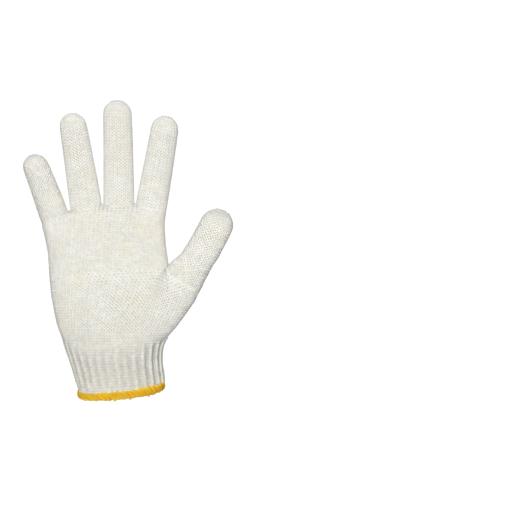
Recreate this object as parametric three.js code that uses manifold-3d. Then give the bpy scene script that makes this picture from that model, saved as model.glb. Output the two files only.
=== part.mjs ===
// A string-knit cotton work glove, as it stands when a hand fills it: a hollow knitted palm with five
// finger stalls, a ribbed elastic cuff below it, and a yellow overlocked hem that grips the cuff's edge.
// The palm side faces -Y, the thumb is on +X, the fingers point up +Z, and the origin is the centre of
// the wrist opening. Lengths are in millimetres and angles in degrees.
import * as THREE from "three";
import { mergeVertices } from "three/addons/utils/BufferGeometryUtils.js";
import Module from "manifold-3d";

// Driving dimensions.
const KNIT_WALL = 1.8; // the knitted cloth of palm and fingers
const GAP = 0.3; // clearance between neighbouring pieces

const CUFF_HEIGHT = 42; // wrist opening to the start of the palm
const CUFF_WIDTH = 70; // across the wrist
const CUFF_DEPTH = 50; // palm side to back of the wrist
const CUFF_WALL = 2.2; // rib knit is thicker than the palm
const RIB_COUNT = 28; // ribs round the cuff, each three stitches wide
const RIB_DEPTH = 1.5; // crest to groove

const PALM_HEIGHT = 105.5; // cuff to the middle of the knuckle line
const PALM_WIDTH = 99.4; // along the knuckle line
const PALM_DEPTH = 34; // through the palm
const KNUCKLE_FALL = 8.6; // the knuckle line is this much lower half a palm away from the middle finger
const FINGER_LENGTH = 79.4; // the middle finger, from the knuckle line
const FINGER_SPACE = 1.6; // between two stalls at the knuckle line

const THUMB_WIDTH = 25.2; // across the free thumb
const THUMB_ROOT_WIDTH = 37.2; // across the ball of the thumb

const HEM_RISE = 6.1; // the hem climbs towards the thumb by this angle
const HEM_DROP = 6.5; // and hangs lower on the palm side by this angle
const HEM_GRIP = 3.9; // how far the overlock reaches up the cuff
const HEM_THREAD = 1.2; // thickness of the overlock thread on each side
const HEM_ROLL = 2.3; // how far the overlock roll hangs below the cuff's edge

// The finger stalls, from the little finger to the index. width is a share of PALM_WIDTH at the knuckle
// line, tip the fingertip's width over that, and length and curl, how far the tip comes forward, are
// shares of FINGER_LENGTH. lean is positive towards the thumb.
const FINGERS = [
  { name: "little_finger", width: 0.223, tip: 0.88, length: 0.621, curl: 0.09, lean: -19.8 },
  { name: "ring_finger", width: 0.249, tip: 0.84, length: 0.914, curl: 0.11, lean: -8.4 },
  { name: "middle_finger", width: 0.239, tip: 0.92, length: 1, curl: 0.11, lean: -0.4 },
  { name: "index_finger", width: 0.243, tip: 0.864, length: 0.884, curl: 0.1, lean: 10.4 },
];
const KNUCKLE_LEFT = -0.64; // where the knuckle line starts, as a share of PALM_WIDTH
const STALL_FLATNESS = 0.9; // a finger's depth over its width
const STALL_ROOT = 14; // how far a finger stall reaches down inside the palm
const COLLAR = 4; // height above the knuckle line at which the free stalls start

// Cross-sections of the cuff. up is a share of CUFF_HEIGHT, centre and width of CUFF_WIDTH, depth of
// CUFF_DEPTH. rib is the share of RIB_DEPTH that shows on the front and back, edge at the little
// finger's side and gather under the thumb, where the elastic draws the cloth in the most.
const CUFF_SECTIONS = [
  { up: 0, centre: 0.004, width: 0.936, depth: 0.97, rib: 0.7, edge: 0.7, gather: 0.7 },
  { up: 0.16, centre: -0.006, width: 0.966, depth: 1, rib: 1, edge: 1, gather: 1 },
  { up: 0.38, centre: -0.036, width: 0.987, depth: 0.99, rib: 1, edge: 1, gather: 1.1 },
  { up: 0.61, centre: -0.066, width: 1.025, depth: 0.97, rib: 0.85, edge: 1, gather: 1.3 },
  { up: 0.83, centre: -0.084, width: 1.091, depth: 0.945, rib: 0.35, edge: 0.9, gather: 1.4 },
  { up: 1, centre: -0.075, width: 1.181, depth: 0.92, rib: 0, edge: 0.6, gather: 1.1 },
];

// Cross-sections of the four-finger palm. up is a share of PALM_HEIGHT, left and right of PALM_WIDTH,
// front and back of PALM_DEPTH. edge and gather are as above. The section below these is the cuff's
// last one.
const PALM_SECTIONS = [
  { up: 0.05, left: -0.484, right: 0.365, front: 0.68, back: 0.665, edge: 0.4, gather: 0.8 },
  { up: 0.11, left: -0.502, right: 0.367, front: 0.665, back: 0.64, edge: 0.15, gather: 0.4 },
  { up: 0.2, left: -0.522, right: 0.372, front: 0.64, back: 0.605 },
  { up: 0.36, left: -0.549, right: 0.377, front: 0.59, back: 0.55 },
  { up: 0.55, left: -0.564, right: 0.376, front: 0.53, back: 0.5 },
  { up: 0.7, left: -0.574, right: 0.354, front: 0.49, back: 0.46 },
  { up: 0.84, left: -0.599, right: 0.345, front: 0.435, back: 0.42 },
  { up: 0.94, left: -0.624, right: 0.349, front: 0.38, back: 0.37 },
  { up: 0.98, left: -0.632, right: 0.349, front: 0.28, back: 0.28 },
];

// The thumb, from inside the heel of the hand to the tip. across is a share of PALM_WIDTH and up of
// PALM_HEIGHT above the cuff, forward is a share of PALM_DEPTH towards the palm side. size runs from 0,
// THUMB_WIDTH, to 1, THUMB_ROOT_WIDTH, and round is the depth over the width. The free thumb starts at
// the row marked free.
const THUMB_SECTIONS = [
  { across: 0.131, up: 0, forward: 0.12, size: 1, round: 0.78 },
  { across: 0.214, up: 0.1, forward: 0.15, size: 1, round: 0.84 },
  { across: 0.324, up: 0.227, forward: 0.2, size: 1, round: 0.88 },
  { across: 0.44, up: 0.355, forward: 0.27, size: 0.74, round: 0.88 },
  { across: 0.526, up: 0.472, forward: 0.32, size: 0.37, round: 0.88 },
  { across: 0.581, up: 0.54, forward: 0.35, size: 0.09, round: 0.9, free: true },
  { across: 0.617, up: 0.589, forward: 0.38, size: 0, round: 0.9 },
  { across: 0.66, up: 0.653, forward: 0.42, size: 0, round: 0.9 },
  { across: 0.712, up: 0.742, forward: 0.47, size: -0.03, round: 0.9 },
  { across: 0.762, up: 0.831, forward: 0.5, size: -0.03, round: 0.9 },
];

// How finely the forms are faceted.
const POINTS_PER_RIB = 4;
const PALM_POINTS = 40;
const FINGER_POINTS = 16;
const THUMB_POINTS = 18;
const FINGER_STATIONS = [0.3, 0.58]; // shares of a finger's straight stretch that carry a section
const TIP_ANGLES = [0, 28, 54, 75]; // rings of the rounded tip

const YARN = { color: 0xf1eee4, roughness: 0.95, metalness: 0 };
const RIB_YARN = { color: 0xe9e6db, roughness: 0.95, metalness: 0 };
const HEM_YARN = { color: 0xf4b60b, roughness: 0.85, metalness: 0 };

const wasm = await Module();
wasm.setup();

// An oval in the XY plane, with its own depth towards the palm side and towards the back. square is 2
// for an ellipse and larger for a flatter one.
class Oval extends THREE.Curve {
  constructor(left, right, front, back, square = 2) {
    super();
    Object.assign(this, { left, right, front, back, square });
  }

  getPoint(t, target = new THREE.Vector3()) {
    const angle = 2 * Math.PI * t;
    const flatten = (v) => Math.sign(v) * Math.abs(v) ** (2 / this.square);
    const half = (this.right - this.left) / 2;
    const depth = Math.sin(angle) < 0 ? this.front : this.back;
    return target.set(
      (this.left + this.right) / 2 + half * flatten(Math.cos(angle)),
      depth * flatten(Math.sin(angle)),
      0,
    );
  }

  // The same oval with its outline moved in by a wall's thickness.
  inset(wall) {
    const { left, right, front, back, square } = this;
    return new Oval(left + wall, right - wall, front - wall, back - wall, square);
  }

  // Points evenly spaced round the oval, without the repeated last one.
  ring(count) {
    return this.getSpacedPoints(count).slice(0, count);
  }
}

// A mesh through rings of points that run anticlockwise seen from the end they go towards. Neighbours
// may differ in count, and a ring of one point is a pole. With loop the last ring joins the first.
function loft(rings, loop = false) {
  const points = rings.flat();
  const starts = rings.map((_, r) => rings.slice(0, r).flat().length);
  const index = [];
  rings.forEach((lower, b) => {
    if (b === rings.length - 1 && !loop) return;
    const next = (b + 1) % rings.length;
    const upper = rings[next];
    const low = (i) => starts[b] + (i % lower.length);
    const high = (i) => starts[next] + (i % upper.length);
    const lows = lower.length > 1 ? lower.length : 0;
    const highs = upper.length > 1 ? upper.length : 0;
    for (let i = 0, j = 0; i < lows || j < highs; ) {
      const lowerFirst = j === highs || (i < lows && (i + 1) * highs <= (j + 1) * lows);
      if (lowerFirst) index.push(low(i), low(++i), high(j));
      else index.push(low(i), high(j + 1), high(j++));
    }
  });
  const geometry = new THREE.BufferGeometry().setFromPoints(points);
  geometry.setIndex(index);
  return geometry;
}

// The same with a flat cap on both ends.
function cappedLoft(rings) {
  return loft([[centreOf(rings[0])], ...rings, [centreOf(rings.at(-1))]]);
}

function centreOf(ring) {
  const sum = ring.reduce((total, p) => total.add(p), new THREE.Vector3());
  return sum.divideScalar(ring.length);
}

function solidOf(geometry) {
  const bare = new THREE.BufferGeometry();
  bare.setAttribute("position", geometry.getAttribute("position"));
  bare.setIndex(geometry.index);
  const merged = mergeVertices(bare, 1e-4);
  return new wasm.Manifold(
    new wasm.Mesh({
      numProp: 3,
      vertProperties: new Float32Array(merged.attributes.position.array),
      triVerts: new Uint32Array(merged.index.array),
    }),
  );
}

function geometryOf(solid) {
  const mesh = solid.getMesh();
  const geometry = new THREE.BufferGeometry();
  geometry.setAttribute("position", new THREE.BufferAttribute(mesh.vertProperties, mesh.numProp));
  geometry.setIndex(new THREE.BufferAttribute(mesh.triVerts, 1));
  return geometry;
}

function meshOf(name, geometry, look) {
  const flat = geometry.toNonIndexed();
  flat.computeVertexNormals();
  const mesh = new THREE.Mesh(flat, new THREE.MeshStandardMaterial(look));
  mesh.name = name;
  return mesh;
}

// Height of the slanted wrist opening at a point of the cuff's edge.
function hemHeight(x, y) {
  const rise = Math.tan(THREE.MathUtils.degToRad(HEM_RISE));
  const drop = Math.tan(THREE.MathUtils.degToRad(HEM_DROP));
  return x * rise + y * drop;
}

function cuffOval(row) {
  const centre = row.centre * CUFF_WIDTH;
  const half = (row.width * CUFF_WIDTH) / 2;
  const depth = (row.depth * CUFF_DEPTH) / 2;
  return new Oval(centre - half, centre + half, depth, depth, 2.15);
}

// A ring with RIB_COUNT ribs pressed into it as deep as its row says, and moved in by inset.
function ribbed(oval, { rib = 0, edge, gather }, inset) {
  const count = RIB_COUNT * POINTS_PER_RIB;
  const ring = oval.ring(count);
  return ring.map((point, i) => {
    const before = ring[(i + count - 1) % count];
    const after = ring[(i + 1) % count];
    const out = new THREE.Vector3(after.y - before.y, before.x - after.x, 0).normalize();
    const depth = RIB_DEPTH * THREE.MathUtils.lerp(rib, out.x < 0 ? edge : gather, out.x ** 2);
    const wave = (Math.SQRT2 / 2) * Math.sin((2 * Math.PI * (i + 0.5)) / POINTS_PER_RIB);
    return point.clone().addScaledVector(out, depth * wave - inset);
  });
}

// One ring of the cuff, moved in by inset. Its lower edge follows the slanted wrist opening.
function cuffRing(row, inset) {
  return ribbed(cuffOval(row), row, RIB_DEPTH / 2 + inset).map((p) =>
    p.setZ(row.up * CUFF_HEIGHT + (1 - row.up) ** 2 * hemHeight(p.x, p.y)),
  );
}

function makeCuff() {
  const outside = CUFF_SECTIONS.map((row) => cuffRing(row, 0));
  const inside = CUFF_SECTIONS.map((row) => cuffRing(row, CUFF_WALL));
  const geometry = loft([...outside, ...inside.reverse()], true);
  return meshOf("cuff", geometry, RIB_YARN);
}

// The overlocked hem: a rolled thread casing whose slot holds the cuff's lower edge.
function makeHem() {
  const edge = CUFF_SECTIONS[0];
  const slot = CUFF_WALL / 2 + GAP;
  const side = slot + HEM_THREAD;
  const profile = [
    { out: slot, up: HEM_GRIP },
    { out: side, up: HEM_GRIP * 0.85 },
    { out: side, up: -HEM_ROLL / 3 },
    { out: side / 2, up: -HEM_ROLL },
    { out: -side / 2, up: -HEM_ROLL },
    { out: -side, up: -HEM_ROLL / 3 },
    { out: -side, up: HEM_GRIP * 0.85 },
    { out: -slot, up: HEM_GRIP },
    { out: -slot, up: -GAP },
    { out: slot, up: -GAP },
  ];
  const outside = cuffRing(edge, 0);
  const inside = cuffRing(edge, CUFF_WALL);
  const above = cuffRing(CUFF_SECTIONS[1], 0);
  const rings = outside.map((point, i) => {
    const middle = point.clone().add(inside[i]).divideScalar(2);
    const out = point.clone().sub(inside[i]).setZ(0).normalize();
    const up = above[i].clone().sub(point).normalize();
    return profile.map((p) => middle.clone().addScaledVector(out, p.out).addScaledVector(up, p.up));
  });
  return meshOf("overlock_hem", loft(rings, true), HEM_YARN);
}

// How much lower than at the middle finger the knuckle line lies at x.
function knuckleFall(x) {
  return KNUCKLE_FALL * (x / (PALM_WIDTH / 2)) ** 2;
}

// Rings of the four-finger palm, inset by a wall. They arch more and more like the knuckle line, and the
// last one is folded flat along it.
function palmRings(inset) {
  const cuffTop = CUFF_SECTIONS.at(-1);
  const wrist = { row: { ...cuffTop, up: 0 }, oval: cuffOval(cuffTop).inset(RIB_DEPTH / 2) };
  const sections = PALM_SECTIONS.map((row) => ({ row, oval: palmOval(row) }));
  const rings = [wrist, ...sections].map(({ row, oval }) => {
    const ring = row.gather ? ribbed(oval, row, inset) : oval.inset(inset).ring(PALM_POINTS);
    const height = CUFF_HEIGHT + GAP + row.up * (PALM_HEIGHT - GAP);
    return ring.map((p) => p.setZ(height - row.up * knuckleFall(p.x)));
  });
  const last = rings.at(-1);
  const ridge = last.map((p, i) => {
    const across = (p.x + last[(last.length - i) % last.length].x) / 2;
    return new THREE.Vector3(across, 0, CUFF_HEIGHT + PALM_HEIGHT - inset - knuckleFall(across));
  });
  return [...rings, ridge];
}

function palmOval(row) {
  const [left, right] = [row.left * PALM_WIDTH, row.right * PALM_WIDTH];
  return new Oval(left, right, row.front * PALM_DEPTH, row.back * PALM_DEPTH, 2.3);
}

// The rings of a finger or thumb tip, from the last straight section on, and its pole. ringAt makes one
// ring from the distance past that section and the half-width there.
function roundedTip(half, ringAt) {
  const rings = TIP_ANGLES.map((degrees) => {
    const angle = THREE.MathUtils.degToRad(degrees);
    return ringAt(half * Math.sin(angle), half * Math.cos(angle));
  });
  return [...rings, [centreOf(ringAt(half, half / 100))]];
}

// Each finger's sizes, where it stands on the knuckle line, and its frame: along to the tip, side
// across it.
function fingerFrames() {
  let start = KNUCKLE_LEFT * PALM_WIDTH;
  return FINGERS.map((row) => {
    const base = row.width * PALM_WIDTH;
    const x = start + base / 2;
    start += base + FINGER_SPACE;
    const lean = THREE.MathUtils.degToRad(row.lean);
    return {
      name: row.name,
      base,
      tip: row.tip * base,
      length: row.length * FINGER_LENGTH,
      curl: row.curl * FINGER_LENGTH,
      foot: new THREE.Vector3(x, 0, CUFF_HEIGHT + PALM_HEIGHT - knuckleFall(x)),
      along: new THREE.Vector3(Math.sin(lean), 0, Math.cos(lean)),
      side: new THREE.Vector3(Math.cos(lean), 0, -Math.sin(lean)),
    };
  });
}

// One ring of a finger at a distance along it from the knuckle line, with a given half-width.
function fingerRing(finger, distance, half) {
  const bent = Math.max(0, distance / finger.length) ** 2 * finger.curl;
  const centre = finger.foot.clone().addScaledVector(finger.along, distance);
  return new Oval(-half, half, half * STALL_FLATNESS, half * STALL_FLATNESS, 2.1)
    .ring(FINGER_POINTS)
    .map((p) => centre.clone().addScaledVector(finger.side, p.x).setY(p.y - bent));
}

function fingerHalf(finger, distance, inset) {
  const straight = finger.length - finger.tip / 2;
  const share = THREE.MathUtils.clamp(distance / straight, 0, 1);
  return THREE.MathUtils.lerp(finger.base, finger.tip, share) / 2 - inset;
}

// The rings of a free finger stall from the height start up to its tip.
function stallRings(finger, start, inset) {
  const straight = finger.length - finger.tip / 2;
  const heights = [start, ...FINGER_STATIONS.map((s) => s * straight)];
  const rings = heights.map((h) => fingerRing(finger, h, fingerHalf(finger, h, inset)));
  const tip = roundedTip(finger.tip / 2 - inset, (past, half) =>
    fingerRing(finger, straight + past, half),
  );
  return [...rings, ...tip];
}

// The short stretch of a finger that belongs to the palm: from inside it up to the collar.
function fingerRoot(finger, top, inset) {
  const heights = [-STALL_ROOT, 0, top];
  return cappedLoft(heights.map((h) => fingerRing(finger, h, fingerHalf(finger, h, inset))));
}

// The free stall as one shell: inside rings from the tip down, then outside rings back up to it.
function shellOf(outside, inside) {
  return loft([...inside.reverse(), ...outside]);
}

function makeFinger(finger) {
  const start = COLLAR + GAP / 2;
  const shell = shellOf(stallRings(finger, start, 0), stallRings(finger, start, KNIT_WALL));
  return meshOf(finger.name, shell, YARN);
}

// Centres, sizes and frames of the thumb's sections.
function thumbFrames() {
  const centres = THUMB_SECTIONS.map(
    (row) =>
      new THREE.Vector3(
        row.across * PALM_WIDTH,
        -row.forward * PALM_DEPTH,
        CUFF_HEIGHT + row.up * PALM_HEIGHT,
      ),
  );
  return THUMB_SECTIONS.map((row, i) => {
    const before = centres[Math.max(0, i - 1)];
    const after = centres[Math.min(centres.length - 1, i + 1)];
    const along = after.clone().sub(before).normalize();
    const side = new THREE.Vector3(along.z, 0, -along.x).normalize();
    const front = new THREE.Vector3().crossVectors(along, side);
    const width = THREE.MathUtils.lerp(THUMB_WIDTH, THUMB_ROOT_WIDTH, row.size);
    return { ...row, centre: centres[i], along, side, front, half: width / 2 };
  });
}

// One ring of the thumb at a frame, moved along it by past, with a given half-width.
function thumbRing(frame, past, half) {
  const centre = frame.centre.clone().addScaledVector(frame.along, past);
  const depth = half * frame.round;
  return new Oval(-half, half, depth, depth, 2.1)
    .ring(THUMB_POINTS)
    .map((p) => centre.clone().addScaledVector(frame.side, p.x).addScaledVector(frame.front, p.y));
}

function thumbRings(frames, inset) {
  return frames.map((frame) => thumbRing(frame, 0, frame.half - inset));
}

// The thumb's frames in two runs: those that belong to the palm, and those of the free stall.
function splitThumb() {
  const frames = thumbFrames();
  const first = frames.findIndex((frame) => frame.free);
  return { root: frames.slice(0, first + 1), stall: frames.slice(first) };
}

function thumbStallRings(frames, inset) {
  const last = frames.at(-1);
  const base = thumbRing(frames[0], GAP, frames[0].half - inset);
  const tip = roundedTip(last.half - inset, (past, half) => thumbRing(last, past, half));
  return [base, ...thumbRings(frames.slice(1, -1), inset), ...tip];
}

function makeThumb() {
  const { stall } = splitThumb();
  return meshOf("thumb", shellOf(thumbStallRings(stall, 0), thumbStallRings(stall, KNIT_WALL)), YARN);
}

// The palm: the four-finger palm, the ball of the thumb and the collars of the five stalls joined, less
// the same forms one wall smaller, and cut level above the cuff.
function makePalm() {
  const fingers = fingerFrames();
  const { root } = splitThumb();
  const body = (inset, over) => {
    const palmRows = palmRings(inset);
    const palm = solidOf(loft([[centreOf(palmRows[0])], ...palmRows]));
    const last = root.at(-1);
    const ball = [...thumbRings(root, inset), thumbRing(last, over, last.half - inset)];
    const thumb = solidOf(cappedLoft(over > 0 ? ball : ball.slice(0, -1)));
    const top = COLLAR - GAP / 2 + over;
    const roots = fingers.map((finger) => solidOf(fingerRoot(finger, top, inset)));
    return roots.reduce((sum, part) => sum.add(part), palm.add(thumb));
  };
  const below = new THREE.BoxGeometry(2 * PALM_WIDTH, 4 * PALM_DEPTH, PALM_HEIGHT);
  below.translate(0, 0, CUFF_HEIGHT + GAP - PALM_HEIGHT / 2);
  const mouth = cappedLoft(
    [-KNIT_WALL, KNIT_WALL].map((z) =>
      palmRings(KNIT_WALL)[0].map((p) => p.clone().setZ(CUFF_HEIGHT + GAP + z)),
    ),
  );
  const solid = body(0, 0)
    .subtract(body(KNIT_WALL, KNIT_WALL))
    .subtract(solidOf(mouth))
    .subtract(solidOf(below));
  return meshOf("palm", geometryOf(solid), YARN);
}

const glove = new THREE.Group();
glove.name = "cotton_work_glove";
glove.add(makePalm(), makeThumb(), makeCuff(), makeHem());
for (const finger of fingerFrames()) glove.add(makeFinger(finger));

export default glove;
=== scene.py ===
"""A string-knit cotton work glove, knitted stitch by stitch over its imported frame.

Each course of the knit is an outline cut through the frame's solids. Geometry Nodes bend that
outline into a row of yarn loops, and a cloth wall behind the loops takes the solid's place. All
lengths are metres, in the frame's own axes: +Z to the fingertips, -Y out of the palm side and +X
towards the thumb.
"""

from __future__ import annotations

import logging
import math
import sys
from collections.abc import Callable, Sequence
from dataclasses import dataclass, replace
from enum import Enum

import bpy
import numpy as np
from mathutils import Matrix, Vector

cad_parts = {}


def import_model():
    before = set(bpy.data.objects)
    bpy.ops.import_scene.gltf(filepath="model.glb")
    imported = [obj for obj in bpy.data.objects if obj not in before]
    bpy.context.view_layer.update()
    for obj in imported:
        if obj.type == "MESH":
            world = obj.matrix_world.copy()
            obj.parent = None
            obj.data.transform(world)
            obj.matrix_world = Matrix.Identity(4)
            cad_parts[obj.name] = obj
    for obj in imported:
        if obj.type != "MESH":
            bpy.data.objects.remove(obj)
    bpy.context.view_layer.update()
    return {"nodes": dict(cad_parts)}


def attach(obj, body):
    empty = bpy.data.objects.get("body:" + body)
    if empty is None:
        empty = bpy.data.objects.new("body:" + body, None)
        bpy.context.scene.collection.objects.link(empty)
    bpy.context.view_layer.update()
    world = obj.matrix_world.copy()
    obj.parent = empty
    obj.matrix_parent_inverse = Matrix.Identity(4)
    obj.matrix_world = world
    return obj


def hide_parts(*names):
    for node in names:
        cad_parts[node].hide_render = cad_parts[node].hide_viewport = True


log = logging.getLogger("glove")

MM = 0.001
SAMPLES = 168  # points kept on every outline while the knit is laid out
DENSE = 600  # points on outlines that are joined
CLOTH_SAMPLES = 112  # points round the cloth walls

Height = Callable[[np.ndarray], np.ndarray]
CourseHeight = Callable[[np.ndarray, float], np.ndarray]
Colour = tuple[float, float, float, float]


class Slot(Enum):
    """Names of material slots."""

    KNIT = "knit_cotton"
    RIB = "rib_cotton"
    OVERLOCK = "overlock_yarn"


# Outlines cut through the frame


@dataclass
class Solid:
    """The surface of a frame node, as merged corners and triangles."""

    corners: np.ndarray
    faces: np.ndarray

    @classmethod
    def of(cls, node: bpy.types.Object) -> Solid:
        """Reads a frame node, whose place is in its mesh."""
        mesh = node.data
        mesh.calc_loop_triangles()
        place = np.empty(len(mesh.vertices) * 3, np.float32)
        mesh.vertices.foreach_get("co", place)
        index = np.empty(len(mesh.loop_triangles) * 3, np.int32)
        mesh.loop_triangles.foreach_get("vertices", index)
        points = np.round(place.reshape(-1, 3).astype(float), 7)
        corners, merged = np.unique(points, axis=0, return_inverse=True)
        return cls(corners, merged.reshape(-1)[index.reshape(-1, 3)])

    def cut(self, height: Height) -> list[np.ndarray]:
        """Finds the outer outlines where a height is zero.

        Args:
            height: gives each point's height over the cut, positive towards the fingertips.

        Returns:
            Closed outlines, anticlockwise seen from above. Those of inner walls are left out.
        """
        value = height(self.corners)
        above = value[self.faces] > 0
        mixed = above.any(axis=1) & ~above.all(axis=1)
        faces, above = self.faces[mixed], above[mixed]
        single = above.sum(axis=1) == 1
        lone = np.where(single, above.argmax(axis=1), above.argmin(axis=1))
        rows = np.arange(len(faces))
        tip, left, right = (faces[rows, (lone + turn) % 3] for turn in range(3))
        count = len(self.corners)
        edges = [np.minimum(tip, end) * count + np.maximum(tip, end) for end in (left, right)]
        starts = np.where(single, edges[0], edges[1])
        ends = np.where(single, edges[1], edges[0])
        following = dict(zip(starts.tolist(), ends.tolist()))
        outlines = []
        while following:
            first, at = following.popitem()
            chain = [first]
            while at != first and at in following:
                chain.append(at)
                at = following.pop(at)
            if at == first and len(chain) > 3:
                low, high = np.divmod(np.array(chain), count)
                share = (value[low] / (value[low] - value[high]))[:, None]
                outline = self.corners[low] * (1 - share) + self.corners[high] * share
                if area_of(outline) > 0:
                    outlines.append(outline)
        return outlines


def area_of(outline: np.ndarray) -> float:
    """Gives an outline's area seen from above, positive when it runs anticlockwise."""
    x, y = outline[:, 0], outline[:, 1]
    return float(x @ np.roll(y, -1) - y @ np.roll(x, -1)) / 2


def middle_of(outline: np.ndarray) -> np.ndarray:
    """Gives the middle of an outline's box."""
    return (outline.min(axis=0) + outline.max(axis=0)) / 2


def spaced(outline: np.ndarray, count: int = SAMPLES, turn: float = 0.0) -> np.ndarray:
    """Spaces points evenly round an outline, from its left edge over the palm side.

    Args:
        outline: a closed outline, anticlockwise seen from above.
        count: how many points to give back.
        turn: how far past the left edge the first point lies.

    Returns:
        The evenly spaced points.
    """
    side = outline[:, 1] - middle_of(outline)[1]
    after = np.roll(side, -1)
    crossings = np.flatnonzero((side > 0) & (after <= 0))
    first = crossings[np.argmin(outline[crossings, 0])]
    share = side[first] / (side[first] - after[first])
    ring = np.roll(outline, -first - 1, axis=0)
    start = ring[-1] * (1 - share) + ring[0] * share
    path = np.vstack([start, ring, start])
    steps = np.linalg.norm(np.diff(path, axis=0), axis=1)
    length = np.concatenate([[0], np.cumsum(steps)])
    wanted = (np.linspace(0, length[-1], count, endpoint=False) + turn) % length[-1]
    return np.stack([np.interp(wanted, length, path[:, k]) for k in range(3)], axis=1)


def largest(outlines: list[np.ndarray]) -> np.ndarray:
    """Picks the outline with the largest area."""
    return max(outlines, key=area_of)


def outlines_at(
    solid: Solid, shares: list[float], height: CourseHeight, turns: list[float] | None = None
) -> list[np.ndarray]:
    """Cuts a row of courses through a solid.

    Args:
        solid: the solid.
        shares: how far up each course lies.
        height: gives points' heights over the course at a share.
        turns: how far past the left edge each course starts.

    Returns:
        Evenly spaced outlines.
    """
    turns = turns or [0.0] * len(shares)
    cuts = [largest(solid.cut(lambda points: height(points, share))) for share in shares]
    return [spaced(cut, turn=turn) for cut, turn in zip(cuts, turns)]


def joined(
    outlines: list[np.ndarray], middle: np.ndarray, way: np.ndarray, within: float = 16 * MM
) -> np.ndarray:
    """Joins the outlines that surround a point into one, taking their farthest points.

    Args:
        outlines: closed outlines in one plane, of which some may be open on one side like a C.
        middle: the point, which the joined outline surrounds.
        way: the plane's normal.
        within: how near the point an outline's middle lies if it surrounds it.

    Returns:
        A closed outline, anticlockwise seen from the normal's end.
    """
    near = [outline for outline in outlines if math.dist(middle_of(outline), middle) < within]
    points = np.vstack([spaced(outline, DENSE) for outline in near]) - middle
    side = np.cross(way, (0.0, -1.0, 0.0))
    side /= np.linalg.norm(side)
    front = np.cross(way, side)
    across, ahead = points @ side, points @ front
    turn = np.floor((np.arctan2(ahead, across) + math.pi) / (2 * math.pi) * SAMPLES).astype(int)
    reach = np.zeros(SAMPLES)
    np.maximum.at(reach, turn % SAMPLES, np.hypot(across, ahead))
    seen = np.flatnonzero(reach > 0)
    reach = np.interp(np.arange(SAMPLES), seen, reach[seen], period=SAMPLES)
    angle = (np.arange(SAMPLES) + 0.5) / SAMPLES * 2 * math.pi - math.pi
    spokes = np.outer(np.cos(angle), side) + np.outer(np.sin(angle), front)
    return middle + reach[:, None] * spokes


def softened(rows: np.ndarray, waves: float, rounds: int = 4) -> np.ndarray:
    """Takes the frame's facets out of a stack of outlines without shrinking it.

    Args:
        rows: outlines of SAMPLES points each.
        waves: how many waves round an outline are kept.
        rounds: how often neighbouring outlines are eased towards each other.

    Returns:
        The softened outlines.
    """
    spectrum = np.fft.rfft(rows, axis=1)
    order = np.arange(spectrum.shape[1])[None, :, None]
    rows = np.fft.irfft(spectrum * np.exp(-((order / waves) ** 6)), rows.shape[1], axis=1)
    for _ in range(rounds):
        for pull in (0.5, -0.52):  # a step in, and a slightly longer one out again
            rows = rows.copy()
            rows[1:-1] += pull * ((rows[:-2] + rows[2:]) / 2 - rows[1:-1])
    return rows


# The knit as courses of stitches


@dataclass
class Net:
    """A knitted surface: outlines of SAMPLES points, one for each course, bottom to top.

    wales holds how many stitches each course has. closed means that the last course is a fingertip.
    """

    rows: np.ndarray
    wales: list[int]
    closed: bool = False

    def ring(self, course: float, wales: int) -> np.ndarray:
        """Gives evenly spaced points of one course, or between two courses."""
        course = min(max(course, 0), len(self.rows) - 1)
        low = min(int(course), len(self.rows) - 2)
        row = self.rows[low] + (self.rows[low + 1] - self.rows[low]) * (course - low)
        place = np.arange(wales) * (SAMPLES / wales)
        before = place.astype(int) % SAMPLES
        share = (place % 1)[:, None]
        return row[before] * (1 - share) + row[(before + 1) % SAMPLES] * share

    def course(self, index: int, wales: int) -> tuple[np.ndarray, np.ndarray, np.ndarray]:
        """Lays out one course.

        Args:
            index: the course, from the bottom.
            wales: how many points it gets.

        Returns:
            The points, the way to the next course with its distance, and the outward normals.
        """
        low, high = max(index - 1, 0), min(index + 1, len(self.rows) - 1)
        up = (self.ring(high, wales) - self.ring(low, wales)) / (high - low)
        points = self.ring(index, wales)
        along = np.roll(points, -1, axis=0) - np.roll(points, 1, axis=0)
        out = np.cross(along, up)
        out /= np.linalg.norm(out, axis=1)[:, None]
        return points, up, out


def blended(below: Net, above: Net) -> tuple[Net, Net]:
    """Eases two nets that meet into each other, so that no ledge shows between them."""
    count = len(below.rows)
    rows = softened(np.vstack([below.rows, above.rows]), waves=16, rounds=14)
    return Net(rows[:count], below.wales), Net(rows[count:], above.wales)


@dataclass
class Reliefs:
    """The elastic's ribs: how far the knit stands in and out round the wrist, by height."""

    ribs: int = 28
    phase: float = 1 / 3  # where the first rib stands, as a share of the rib's width
    depth: float = 0.8 * MM
    gather: float = 1.1  # how much deeper they are under the thumb
    hem: float = 10 * MM  # the overlock flattens the ribs up to here
    hem_drop: float = 1 * MM  # and from here, below the wrist's middle
    hem_share: float = 0.3  # how deep they are at the hem
    front_top: float = 36 * MM
    edge_top: float = 50 * MM
    gather_top: float = 60 * MM
    fade: float = 16 * MM

    def at(self, points: np.ndarray, out: np.ndarray) -> np.ndarray:
        """Gives how far each point is raised, or sunk where it's negative, from -1 to about 2."""
        wave = np.cos(2 * math.pi * (self.ribs * np.arange(len(points)) / len(points) - self.phase))
        reach = np.where(out[:, 0] < 0, self.edge_top, self.gather_top)
        top = self.front_top + (reach - self.front_top) * out[:, 0] ** 2
        strength = np.clip((top - points[:, 2]) / self.fade, 0, 1)
        strength *= np.clip((points[:, 2] + self.hem_drop) / self.hem, self.hem_share, 1)
        strength = strength * strength * (3 - 2 * strength)
        return wave * strength * (1 + self.gather * np.clip(out[:, 0], 0, 1) ** 2)


# Node trees


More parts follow.
